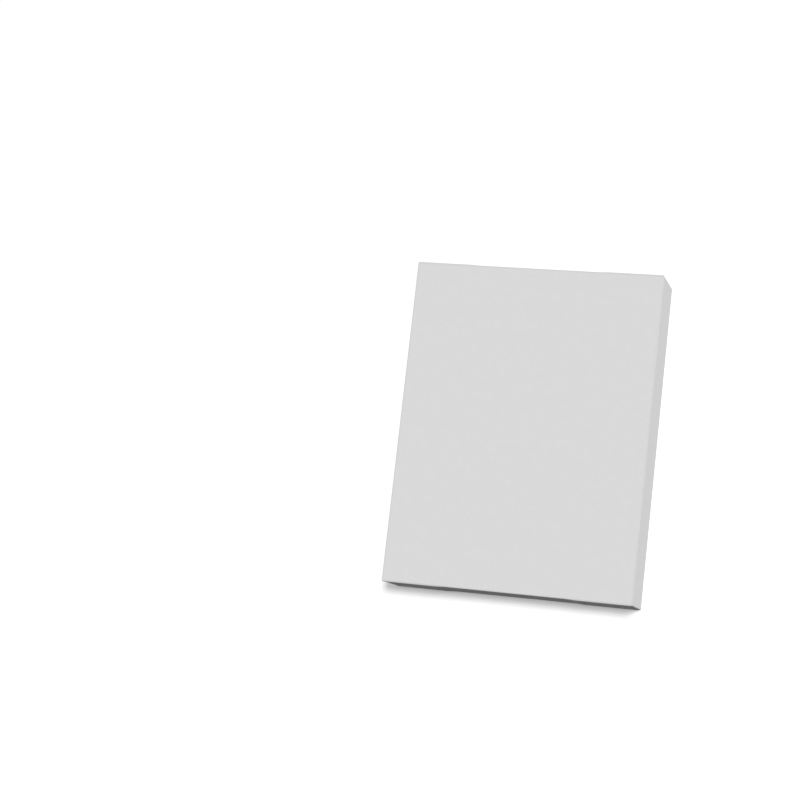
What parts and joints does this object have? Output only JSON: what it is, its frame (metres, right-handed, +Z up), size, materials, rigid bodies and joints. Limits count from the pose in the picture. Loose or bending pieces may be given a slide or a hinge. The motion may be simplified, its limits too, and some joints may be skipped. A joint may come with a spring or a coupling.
{
  "type": "wrapped ream of paper",
  "caption": "Sealed ream of letter-size copy paper in a plain pale wrapper: a flat block with folded ends and a glued lap along its back.",
  "frame": {"origin": "middle of the back of the pack, on the plane that it rests on when it lies flat", "axes": "+X across the sheets, to the right in the picture; +Y along the sheets, towards the end that is uppermost in the picture; +Z up through the stack, out of the plain front"},
  "size_m": [0.2162, 0.2818, 0.0512],
  "materials": {
    "ream_wrap_paper": "matt, machine-finished bleached wrapping paper, plain pale grey-white"
  },
  "bodies": {
    "root": {"wrapped_ream": "ream_wrap_paper"}
  },
  "joints": []
}
